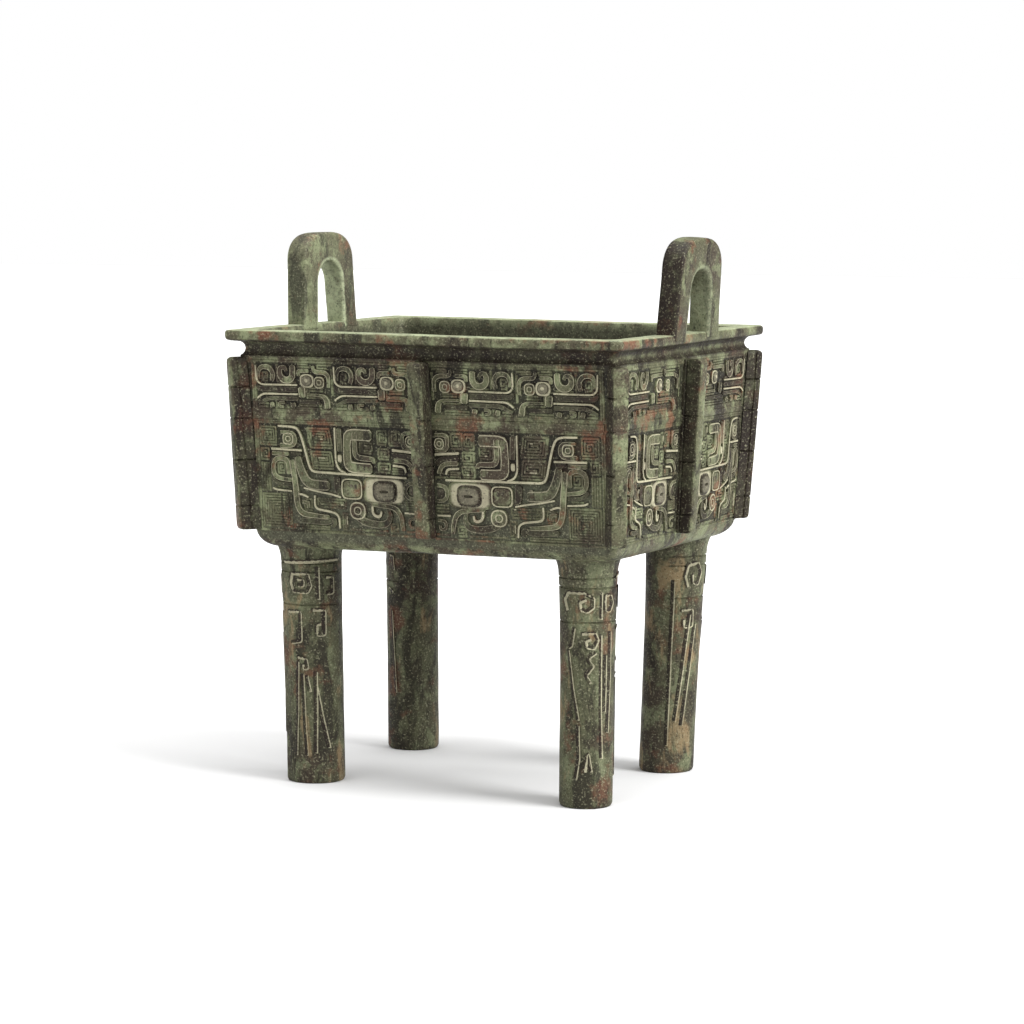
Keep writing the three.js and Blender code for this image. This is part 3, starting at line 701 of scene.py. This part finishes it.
def dragon(wall, start, end, thin):
    """One dragon in profile, its head at start: drawn 36 mm long and fitted to its stretch of wall."""
    length = 36.0
    low, figure, ridge = RELIEF["dragon"], RELIEF["figure"], RELIEF["ridge"] * 0.9

    def at(s):
        return lerp(start, end, s / length)

    def form(route, height=low, section=RIMMED, reach=1.6, dark=0.0):
        band(wall, [(at(s), z, width * thin) for s, z, width in route], height, section, reach, dark)

    def line(route):
        thread(wall, [panel_corner(wall, at(s), z) for s, z in route])

    # head: eye, brow, ringed snout and jaw
    socket = figure * 0.7
    boss(wall, at(11.9), 163, 3.3 * thin, 2.8, ((1, 1, 0.6 * socket), (0.95, 0.95, socket),
    (0.7, 0.7, socket)), 2.8, 18)
    boss(wall, at(11.9), 163.1, 2.5 * thin, 2.2, dome(figure * 1.3), 2.3, 18, dark=0.7)
    boss(wall, at(11.9), 163.2, 0.9 * thin, 0.8, ((1, 1, figure * 1.3), (0.7, 0.7, figure * 1.5)), 2, 10)
    form([(1.6, 160.6, 1.3), (1.4, 165.2, 1.7), (3.2, 166.8, 1.8), (8.4, 166.9, 1.7), (8.7, 169.2, 1.2)])
    volute(wall, at(6), 162.7, 2.4 * thin, 2.4, low, 2.8)
    form([(10.6, 167.1, 1.5), (15.6, 167, 1.8), (15.4, 164.8, 1.4)])
    form([(2.4, 152.5, 2.6), (2.8, 156.2, 2.4), (4.8, 157.5, 1.2), (12.2, 157.6, 1)])
    form([(14.4, 156.4, 3), (14.6, 160.6, 3.3)])
    form([(6, 154.7, 1.7), (15.8, 154.9, 1.7)], low * 0.85, dark=0.8)
    # crests
    form([(18.3, 169.1, 2.4), (18.2, 165, 2.7), (20, 163.2, 2.8), (22.6, 163.2, 2.8), (24.6, 165, 2.5),
          (24.4, 168, 2.1), (22, 168.4, 1.6), (21.2, 166.6, 1.3)], low, reach=2.8)
    form([(28.4, 162.6, 1.7), (27.4, 165.6, 2.1), (29.2, 168.4, 2.1), (33, 168.5, 1.9), (34.5, 166.6, 1.5),
          (34.4, 163.4, 1.2)],
         low, reach=2.8)
    # body, dark between a bright ridge above and one below, and the line of the belly
    form([(16.4, 161.3, 0.9), (33.6, 161.2, 0.9), (35.6, 162.9, 0.9), (35.7, 169, 0.8)], ridge, PLAIN)
    form([(16.6, 159.5, 2.1), (34.4, 159.5, 2.1), (35.9, 161, 1.1)], low * 0.85, dark=0.85)
    form([(16.4, 157.7, 0.9), (33, 157.6, 0.9), (35.8, 155.6, 0.8)], ridge, PLAIN)
    form([(16.4, 156, 1.6), (30, 156, 1.6), (35.4, 153.6, 1.2)], low * 0.85, dark=0.6)
    # feet
    form([(18.6, 152.6, 2.2), (19, 154.4, 2.2)])
    form([(22.8, 154.4, 1.2), (25.4, 154.4, 1.3), (25.4, 152.9, 1.1), (23.4, 152.7, 1)])
    form([(28.6, 152.4, 2), (29, 154.4, 1.8)])
    for route in (
        ((0.4, 169.4), (6.8, 169.4), (6.8, 168.3), (2.4, 168.3)),
        ((10, 169.4), (10, 168.4), (16, 168.4)),
        ((11.2, 169.5), (16, 169.5)),
        ((4.8, 156.3), (12.4, 156.3), (12.4, 160.2)),
        ((4.6, 159), (11.2, 159)),
        ((4.6, 160.1), (11.2, 160.1)),
        ((0.3, 157.4), (0.3, 168)),
        ((5.4, 153.4), (16.4, 153.4)),
        ((5.4, 152.3), (16.4, 152.3)),
        ((20.8, 152.4), (22, 152.4), (22, 153.6)),
        ((26.8, 152.3), (26.8, 154.6)),
        ((30.6, 153.7), (34.4, 153.7)),
        ((30.6, 152.5), (35.2, 152.5)),
        ((26.1, 162.4), (26.1, 169.4)),
        ((17.2, 162.3), (25, 162.3)),
    ):
        line(route)
    squared_spiral(wall, at(29.8), 162.1, at(33.5), 166.8)


def wall_relief(wall, dragons, thin):
    """Both halves of a wall's relief. dragons are the stretches of its upper row, one for each dragon."""
    for side in (-1, 1):
        wall.side = side
        mask_half(wall, thin)
        mask_ground(wall)
        for start, stop in dragons:
            dragon(wall, start, stop, thin)
        outer = wall.inward[-1][1]
        for z in BORDERS:
            thread(wall, [(3, z), (outer, z)])
        for u in (outer - 0.6, outer + 0.4):
            thread(wall, [(u, 103.1), (u, 146.2)])
            thread(wall, [(u, 151.3), (u, 170.5)])
        rings = []
        for u in (0, outer * 0.25, outer * 0.5, outer * 0.75, outer + 0.6):
            u *= side
            rise = ((147.4, -0.3), (147.5, 0.3), (147.9, 0.6), (149.9, 0.6), (150.2, 0.3), (150.3, -0.3))
            rings.append([Vector((u, z, h)) for z, h in rise])
        wall.add(rings[::-1] if side > 0 else rings, [0.72] * (6 * len(rings)))


# ---- Threads, swept along their lines by a node tree ----
def thread_tree(material):
    """A tree that sweeps a flat-topped ridge along each line of its mesh, in the plane z = 0."""
    tree = bpy.data.node_groups.new("ground_threads", "GeometryNodeTree")
    face = tree.interface
    face.new_socket("Geometry", in_out="INPUT", socket_type="NodeSocketGeometry")
    for label in ("Foot width", "Crest width", "Height", "Root", "Corner"):
        face.new_socket(label, in_out="INPUT", socket_type="NodeSocketFloat")
    face.new_socket("Geometry", in_out="OUTPUT", socket_type="NodeSocketGeometry")
    nodes, links = tree.nodes, tree.links
    given = nodes.new("NodeGroupInput")
    result = nodes.new("NodeGroupOutput")
    lines = nodes.new("GeometryNodeMeshToCurve")
    fillet = nodes.new("GeometryNodeFilletCurve")
    profile = nodes.new("GeometryNodeCurvePrimitiveQuadrilateral")
    profile.mode = "TRAPEZOID"
    lift = nodes.new("GeometryNodeTransform")
    offset = nodes.new("ShaderNodeCombineXYZ")
    total = nodes.new("ShaderNodeMath")
    total.operation = "ADD"
    middle = nodes.new("ShaderNodeMath")
    middle.operation = "SUBTRACT"
    half = nodes.new("ShaderNodeMath")
    half.operation = "MULTIPLY"
    half.inputs[1].default_value = 0.5
    sweep = nodes.new("GeometryNodeCurveToMesh")
    real = nodes.new("GeometryNodeRealizeInstances")
    dressed = nodes.new("GeometryNodeSetMaterial")
    dressed.inputs["Material"].default_value = material
    fillet.inputs["Limit Radius"].default_value = True
    fillet.mode = "POLY"
    fillet.inputs["Count"].default_value = 2
    sweep.inputs["Fill Caps"].default_value = True
    for source, output, target, socket in (
        (given, "Geometry", lines, "Mesh"),
        (lines, "Curve", fillet, "Curve"),
        (given, "Corner", fillet, "Radius"),
        (given, "Height", total, 0),
        (given, "Root", total, 1),
        (given, "Height", middle, 0),
        (given, "Root", middle, 1),
        (middle, 0, half, 0),
        (total, 0, profile, "Height"),
        (given, "Foot width", profile, "Bottom Width"),
        (given, "Crest width", profile, "Top Width"),
        (half, 0, offset, "Y"),
        (profile, "Curve", lift, "Geometry"),
        (offset, 0, lift, "Translation"),
        (fillet, "Curve", sweep, "Curve"),
        (lift, "Geometry", sweep, "Profile Curve"),
        (sweep, "Mesh", real, "Geometry"),
        (real, "Geometry", dressed, "Geometry"),
        (dressed, "Geometry", result, "Geometry"),
    ):
        links.new(source.outputs[output], target.inputs[socket])
    return tree


def swept(lines, tree, sizes):
    """The threads' points and faces, flat: the drawing's plane is z = 0."""
    points, edges = [], []
    for route in lines:
        start = len(points)
        points.extend((u, z, 0.0) for u, z in route)
        edges.extend((start + i, start + i + 1) for i in range(len(route) - 1))
    data = bpy.data.meshes.new("threads")
    data.from_pydata(points, edges, [])
    thing = bpy.data.objects.new("threads", data)
    bpy.context.scene.collection.objects.link(thing)
    modifier = thing.modifiers.new("threads", "NODES")
    modifier.node_group = tree
    for item in tree.interface.items_tree:
        if item.item_type == "SOCKET" and item.in_out == "INPUT" and item.name in sizes:
            modifier[item.identifier] = sizes[item.name]
    plain = bpy.data.meshes.new_from_object(thing.evaluated_get(bpy.context.evaluated_depsgraph_get()))
    found = [v.co.copy() for v in plain.vertices]
    faces = [tuple(p.vertices) for p in plain.polygons]
    bpy.data.objects.remove(thing)
    bpy.data.meshes.remove(plain)
    bpy.data.meshes.remove(data)
    return found, faces


# A leg's drawing: lines of (turn in degrees round the leg, z).
TWO_BRACKETS = (
    ((-60, 90.2), (0, 90.8), (60, 91.2)),
    ((-40, 85.4), (-6, 85.7), (0, 80.4), (-7, 77.6), (-38, 77.8), (-45, 81.4), (-40, 85.4)),
    ((-28, 83.2), (-14, 83.2), (-14, 80.2), (-26, 80.2)),
    ((14, 88), (14, 75)),
    ((28, 84), (44, 84.2), (45, 77.2), (30, 77)),
    ((-52, 70), (-22, 70.4), (-22, 58), (-46, 57)),
    ((0, 71), (25, 71), (25, 60.6), (7, 60.4), (7, 65), (15, 65.4)),
    ((-32, 52), (-13, 51.4), (-10, 47.2), (-22, 46.8), (-22, 49)),
    ((-12, 44.4), (-6, 38)),
    ((-30, 50), (-33, 30), (-37, 12)),
    ((-20, 45), (-18, 28), (-14, 12)),
    ((6, 40), (16, 28), (30, 15)),
    ((6, 46), (5, 30), (3, 13)),
)
CURL_AND_BLADE = (
    ((-50, 77.4), (-57, 81.6), (-46, 84.6), (-12, 84.6), (8, 82.6), (8, 78.6), (-4, 76.8), (-19, 77.6),
     (-22, 80.8), (-8, 82)),
    ((24, 84.6), (24, 74)),
    ((32, 83.4), (47, 83.4), (53, 80), (46, 76.8), (33, 77), (31, 80), (32, 83.4)),
    ((-30, 70.6), (-36, 63.6), (-44, 62.6)),
    ((-44, 62), (-33, 48), (-20, 35)),
    ((-16, 68.6), (12, 69), (18, 66), (10, 62.6), (-6, 63), (-10, 65.8), (2, 66.6)),
    ((14, 61), (-3, 58.8), (10, 56), (-5, 52.4), (4, 49.6)),
    ((37, 60), (37, 38)),
    ((24, 68), (26, 40), (31, 20)),
    ((-20, 33), (-18, 20), (-24, 12)),
    ((-8, 15), (0, 24), (8, 15)),
    ((48, 69), (50, 52), (46, 30)),
)
OVAL_AND_BARS = (
    ((20, 77.4), (13, 81.6), (19, 86.6), (42, 87.4), (53, 83), (45, 77.8), (31, 78.8), (29, 82.4)),
    ((10, 68), (35, 68.5), (37, 61), (16, 60.6), (15, 64)),
    ((30, 66), (20, 44), (9, 22)),
    ((45, 62), (35, 42), (24, 20)),
    ((-6, 80), (-6, 12)),
)
EDGE_BLADE = (((-51, 60), (-46, 42), (-40, 25)), ((-62, 70), (-47, 68.4)),
              ((-57, 84), (-46, 84), (-43, 77.6)))
# Which drawings each corner's leg carries, and the side in degrees that each one faces.
LEG_DRAWINGS = (
    ((TWO_BRACKETS, -63), (CURL_AND_BLADE, 172)),
    ((CURL_AND_BLADE, -63), (TWO_BRACKETS, 62)),
    ((EDGE_BLADE, -63), (CURL_AND_BLADE, 140)),
    ((OVAL_AND_BARS, -63), (CURL_AND_BLADE, 75)),
)
PAINTED_CUT = {"Foot width": 0.62, "Crest width": 0.5, "Height": 0.05, "Root": 0.4, "Corner": 0.9}
BURR = {"Foot width": 0.5, "Crest width": 0.22, "Height": 0.2, "Root": 0.4, "Corner": 0.9}

# Each stroke's sizes, how far it stands beside its line, and its look: the cut is a flat strip painted dark
# as the shade of a groove, and the burr's crest is painted bright as wear and painted highlight.
LEG_STROKES = ((PAINTED_CUT, 0.0, {"dark": 1.0}), (BURR, 0.52, {"relief": 0.95, "leg": 1.0}))


def add_leg_lines(skin, corner, drawings, tree):
    """The leg's drawn lines: for each cut a flat strip painted dark as a groove's shade, with the raised burr
    along it painted bright as wear and highlight.
    """
    foot, top = corner[4:6]
    girth = math.radians(1) * (foot + top) / 2
    for drawing, facing in drawings:
        for sizes, beside, look in LEG_STROKES:
            lines = []
            for route in drawing:
                fine = []
                for (turn, z), (next_turn, next_z) in zip(route, route[1:]):
                    start = Vector((turn * girth + beside, z - beside * 0.8))
                    end = Vector((next_turn * girth + beside, next_z - beside * 0.8))
                    steps = max(1, round((end - start).length / 2.4))
                    fine += [tuple(start.lerp(end, i / steps)) for i in range(steps)]
                fine.append(tuple(end))
                lines.append(fine)
            points, faces = swept(lines, tree, sizes)
            on_leg = []
            for p in points:
                angle = math.radians(facing) + p.x / girth * math.radians(1)
                radius = leg_radius(foot, top, p.y) + p.z
                turned = Vector((radius * math.cos(angle), radius * math.sin(angle), 0))
                on_leg.append(leg_centre(corner, p.y) + turned)
            skin.add(on_leg, faces, **look)


THREAD_SIZES = {
    "Foot width": THREAD["foot"],
    "Crest width": THREAD["crest"],
    "Height": THREAD["height"],
    "Root": 0.3,
    "Corner": THREAD["corner"],
}


def wall_piece(name, wall, tree, material):
    skin = Skin()
    skin.add([wall.on_wall(p) for p in wall.points], wall.faces, relief=wall.rubbed_and_lit, dark=wall.dark)
    points, faces = swept(wall.lines, tree, THREAD_SIZES)
    raised = [0.95 * max(0.0, p.z) / THREAD["height"] for p in points]
    skin.add([wall.on_wall(p) for p in points], faces, relief=raised)
    return skin.piece(name, material)


# ---- The patina, with painted shade and highlight ----
BROWN = (0.05, 0.038, 0.026)
OLIVE = (0.105, 0.11, 0.06)
GREEN = (0.18, 0.2, 0.11)
BLACK_BROWN = (0.016, 0.013, 0.009)
RUST = (0.15, 0.06, 0.034)
# painted shade for the recessed ground between the relief
RECESS_SHADE = (0.008, 0.007, 0.005)
# the tone the legs are darkened towards
LEG_DARKENING = (0.018, 0.015, 0.01)
# wear and painted highlight on the crests of the relief
WORN_TAN_AND_HIGHLIGHT = (0.42, 0.39, 0.27)
# dark patina, and painted shade in the neck, the inside, pits, cuts and round the eye
DARK_PATINA_AND_SHADE = (0.014, 0.009, 0.007)
# pale green on the handles, and a painted highlight on the rim top
MALACHITE_AND_HIGHLIGHT = (0.36, 0.4, 0.25)
EARTH = (0.24, 0.17, 0.09)
GRIT = (0.3, 0.29, 0.19)
PITTING = (0.006, 0.005, 0.004)


def patina():
    material = bpy.data.materials.new("patinated_bronze")
    material.use_nodes = True
    nodes, links = material.node_tree.nodes, material.node_tree.links
    shader = nodes["Principled BSDF"]
    place = nodes.new("ShaderNodeTexCoord").outputs["Object"]

    def layer(name):
        node = nodes.new("ShaderNodeAttribute")
        node.attribute_name = name
        return node.outputs["Fac"]

    def cloud(size_mm, detail=6.0, rough=0.6, stretch=(1, 1, 1), shift=(0, 0, 0), distortion=0.0):
        mapping = nodes.new("ShaderNodeMapping")
        mapping.inputs["Scale"].default_value = stretch
        mapping.inputs["Location"].default_value = shift
        texture = nodes.new("ShaderNodeTexNoise")
        texture.inputs["Scale"].default_value = 1000 / size_mm
        texture.inputs["Detail"].default_value = detail
        texture.inputs["Roughness"].default_value = rough
        texture.inputs["Distortion"].default_value = distortion
        links.new(place, mapping.inputs["Vector"])
        links.new(mapping.outputs["Vector"], texture.inputs["Vector"])
        return texture.outputs["Fac"]

    def remap(value, low, high, to_low=0.0, to_high=1.0):
        node = nodes.new("ShaderNodeMapRange")
        for socket, number in zip(("From Min", "From Max", "To Min", "To Max"),
                                  (low, high, to_low, to_high)):
            node.inputs[socket].default_value = number
        links.new(value, node.inputs["Value"])
        return node.outputs["Result"]

    def maths(operation, a, b):
        node = nodes.new("ShaderNodeMath")
        node.operation = operation
        node.use_clamp = True
        for socket, value in zip(node.inputs, (a, b)):
            if isinstance(value, (int, float)):
                socket.default_value = value
            else:
                links.new(value, socket)
        return node.outputs[0]

    def blend(share, under, over):
        node = nodes.new("ShaderNodeMix")
        node.data_type = "RGBA"
        for socket, value in ((node.inputs[0], share), (node.inputs[6], under), (node.inputs[7], over)):
            if isinstance(value, tuple):
                socket.default_value = (*value, 1)
            elif isinstance(value, (int, float)):
                socket.default_value = value
            else:
                links.new(value, socket)
        return node.outputs[2]

    relief, ground, pale, leg, dark = (layer(name) for name in Skin.LAYERS)
    broad = cloud(36, 5, 0.6)
    middling = cloud(10, 7, 0.68, shift=(4, 1, 2))
    small = cloud(3.0, 6, 0.7, shift=(1, 5, 3))
    speck = cloud(0.8, 3, 0.6, shift=(2, 2, 9))
    streaks = cloud(15, 6, 0.62, stretch=(1.6, 1.6, 0.5), shift=(8, 3, 1), distortion=0.5)
    rust = cloud(17, 6, 0.65, shift=(9, 9, 2))

    colour = blend(remap(broad, 0.4, 0.58), BROWN, OLIVE)
    colour = blend(maths("MULTIPLY", remap(middling, 0.5, 0.6), 0.85), colour, GREEN)
    colour = blend(maths("MULTIPLY", remap(streaks, 0.52, 0.6), 0.85), colour, BLACK_BROWN)
    colour = blend(maths("MULTIPLY", remap(rust, 0.56, 0.64), 0.7), colour, RUST)
    # painted shade: the recessed ground between the relief is darkened nearly to black
    colour = blend(maths("MULTIPLY", ground, 0.85), colour, RECESS_SHADE)
    # the legs are made darker all over
    colour = blend(maths("MULTIPLY", leg, 0.42), colour, LEG_DARKENING)
    # the crests of the relief and the legs' burrs are painted light tan, partly as rubbed wear and partly as
    # a painted highlight
    crest = remap(relief, 0.8, 0.98)
    rubbed_and_lit = maths("MULTIPLY", crest, remap(middling, 0.32, 0.6, 0.45, 1.0))
    colour = blend(maths("MULTIPLY", rubbed_and_lit, 0.85), colour, WORN_TAN_AND_HIGHLIGHT)
    # dark patina, and painted shade where dark marks the neck, the inside, pits, cuts and the ring round the
    # eye
    colour = blend(maths("MULTIPLY", dark, remap(small, 0.5, 0.68, 0.92, 0.55)), colour, DARK_PATINA_AND_SHADE)
    # pale green on the handles, and a painted highlight on the rim top
    colour = blend(maths("MULTIPLY", pale, remap(small, 0.35, 0.6, 0.35, 1.0)), colour, MALACHITE_AND_HIGHLIGHT)
    crust = maths("MULTIPLY", remap(streaks, 0.36, 0.44, 1.0, 0.0), leg)
    colour = blend(maths("MULTIPLY", crust, 0.6), colour, EARTH)
    colour = blend(maths("MULTIPLY", remap(speck, 0.57, 0.68), 0.5), colour, GRIT)
    colour = blend(maths("MULTIPLY", remap(speck, 0.32, 0.43, 1.0, 0.0), 0.7), colour, PITTING)
    links.new(colour, shader.inputs["Base Color"])
    links.new(remap(small, 0.3, 0.7, 0.42, 0.75), shader.inputs["Roughness"])
    shader.inputs["Metallic"].default_value = 0.12
    shader.inputs["Specular IOR Level"].default_value = 0.16

    bump = nodes.new("ShaderNodeBump")
    bump.inputs["Strength"].default_value = 0.5
    bump.inputs["Distance"].default_value = 0.0004
    rough = maths("ADD", maths("MULTIPLY", small, 0.6), maths("MULTIPLY", speck, 0.4))
    links.new(rough, bump.inputs["Height"])
    links.new(bump.outputs["Normal"], shader.inputs["Normal"])
    return material


# ---- The piece ----
bronze = patina()
threads = thread_tree(bronze)
LONG = ((0, 0), (76.4, 75.9))
SHORT = ((0, 0), (5, 8), (18.6, 22), (26, 25.5), (35.2, 35.6), (42, 41), (55, 46), (61.5, 50.5), (70, 55),
         (76.4, 58))
body = Skin()
add_vessel(body)
add_flanges(body)
add_handle(body, -1)
add_handle(body, 1)
legs = Skin()
for corner, drawings in zip(CORNERS, LEG_DRAWINGS):
    add_leg(legs, corner)
    add_leg_lines(legs, corner, drawings, threads)
pieces = [body.piece("vessel", bronze), legs.piece("legs", bronze)]
for name, axis, turn in (("front", 1, 0), ("right", 0, 90), ("back", 1, 180), ("left", 0, 270)):
    long_wall = axis == 1
    wall = Wall(axis, turn, LONG if long_wall else SHORT)
    cells = ((3.8, 39.6), (40.4, 75.2)) if long_wall else ((4, 76),)
    wall_relief(wall, cells, 1.0 if long_wall else 0.85)
    pieces.append(wall_piece(f"{name}_wall_relief", wall, threads, bronze))
for piece in pieces:
    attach(piece, "root")
    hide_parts(NODE)

# ---- Floor, light and camera ----
floor_mesh = bpy.data.meshes.new("floor")
SPREAD = 6.0
sheet = [(x * SPREAD, y * SPREAD, 0) for x, y in ((-1, -1), (1, -1), (1, 1), (-1, 1))]
floor_mesh.from_pydata(sheet, [], [(0, 1, 2, 3)])
floor = bpy.data.objects.new("floor", floor_mesh)
bpy.context.scene.collection.objects.link(floor)
paper = bpy.data.materials.new("paper")
paper.use_nodes = True
paper_shader = paper.node_tree.nodes["Principled BSDF"]
paper_shader.inputs["Base Color"].default_value = (0.62, 0.62, 0.62, 1)
paper_shader.inputs["Roughness"].default_value = 0.9
floor_mesh.materials.append(paper)


def soft_light(name, place, strength, spread):
    """A broad, even light from far off, in the direction of a place seen from the ding."""
    data = bpy.data.lights.new(name, "SUN")
    data.energy = strength
    data.angle = math.radians(spread)
    lamp = bpy.data.objects.new(name, data)
    lamp.location = place
    lamp.rotation_euler = Vector(place).to_track_quat("Z", "Y").to_euler()
    bpy.context.scene.collection.objects.link(lamp)


soft_light("key", (1.5, -0.1, 0.8), 4.6, 28)
soft_light("top", (0.2, 0.1, 1.6), 4.2, 75)
soft_light("front_fill", (-0.7, -1.5, 0.8), 1.15, 60)
world = bpy.data.worlds.new("studio")
bpy.context.scene.world = world
world.use_nodes = True
tree = world.node_tree
lit = tree.nodes["Background"]
lit.inputs[0].default_value = (1, 1, 1, 1)
lit.inputs[1].default_value = 0.3
seen = tree.nodes.new("ShaderNodeBackground")
seen.inputs[0].default_value = (1, 1, 1, 1)
ray = tree.nodes.new("ShaderNodeLightPath")
either = tree.nodes.new("ShaderNodeMixShader")
tree.links.new(ray.outputs["Is Camera Ray"], either.inputs[0])
tree.links.new(lit.outputs[0], either.inputs[1])
tree.links.new(seen.outputs[0], either.inputs[2])
tree.links.new(either.outputs[0], tree.nodes["World Output"].inputs[0])
bpy.context.scene.view_settings.view_transform = "Standard"

AZIMUTH, ELEVATION, DISTANCE = math.radians(26.7), math.radians(6.15), 1.310
target = Vector((-2.7, -1.4, 103.7)) * MM
level = Vector((math.sin(AZIMUTH), -math.cos(AZIMUTH), 0))
back = level * math.cos(ELEVATION) + Vector((0, 0, math.sin(ELEVATION)))
lens = bpy.data.cameras.new("camera")
lens.lens = 113.75
lens.sensor_width = 36
lens.shift_x = 0.0204
lens.shift_y = 0.0095
camera = bpy.data.objects.new("camera", lens)
camera.location = target + back * DISTANCE
camera.rotation_euler = back.to_track_quat("Z", "Y").to_euler()
bpy.context.scene.collection.objects.link(camera)
bpy.context.scene.camera = camera
